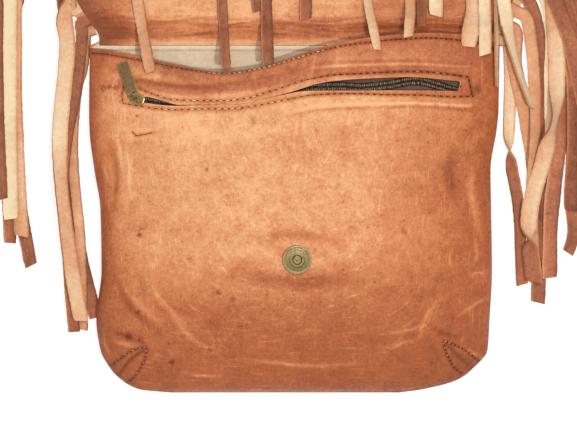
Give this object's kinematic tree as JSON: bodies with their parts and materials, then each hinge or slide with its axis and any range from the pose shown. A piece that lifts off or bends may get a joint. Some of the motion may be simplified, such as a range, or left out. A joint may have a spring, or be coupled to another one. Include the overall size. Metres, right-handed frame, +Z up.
{
  "type": "fringed leather bag",
  "caption": "Soft leather shoulder bag, lined with cotton, with a snap flap edged in long cut strips and a zip pocket in its front, lying open on its back.",
  "frame": {"origin": "middle of the back panel's flat outer face, on the surface that the bag lies on", "axes": "+X across the bag, +Y from its bottom towards the opened flap, +Z up out of the front"},
  "size_m": [0.4874, 0.5974, 0.0369],
  "materials": {
    "back_and_flap_leather": "smooth grain, satin",
    "front_panel": "smooth grain, satin",
    "flap_facing": "smooth grain, satin",
    "lining": "woven cotton, matt",
    "fringe_left": "flesh side, suede",
    "fringe_top": "flesh side, suede",
    "fringe_right": "flesh side, suede",
    "zip_tape": "woven, matt",
    "zip_coil": "nylon coil, matt",
    "zip_slider": "aged",
    "zip_puller": "aged",
    "snap_socket": "antique, satin",
    "snap_rivet": "antique, satin",
    "flap_snap": "antique, satin"
  },
  "bodies": {
    "bag": {"back_and_flap_leather": "back_and_flap_leather", "front_panel": "front_panel", "flap_facing": "flap_facing", "lining": "lining", "fringe_left": "fringe_left", "fringe_top": "fringe_top", "fringe_right": "fringe_right", "zip_tape": "zip_tape", "zip_coil": "zip_coil", "zip_slider": "zip_slider", "snap_socket": "snap_socket", "snap_rivet": "snap_rivet", "flap_snap": "flap_snap"},
    "puller": {"zip_puller": "zip_puller"}
  },
  "joints": [
    {"name": "puller_swing", "type": "hinge", "parent": "bag", "child": "puller", "pos_m": [-0.10126, 0.07667, 0.01985], "axis": [0.93, 0.3489, 0.1155], "range_deg": [0, 160]}
  ]
}
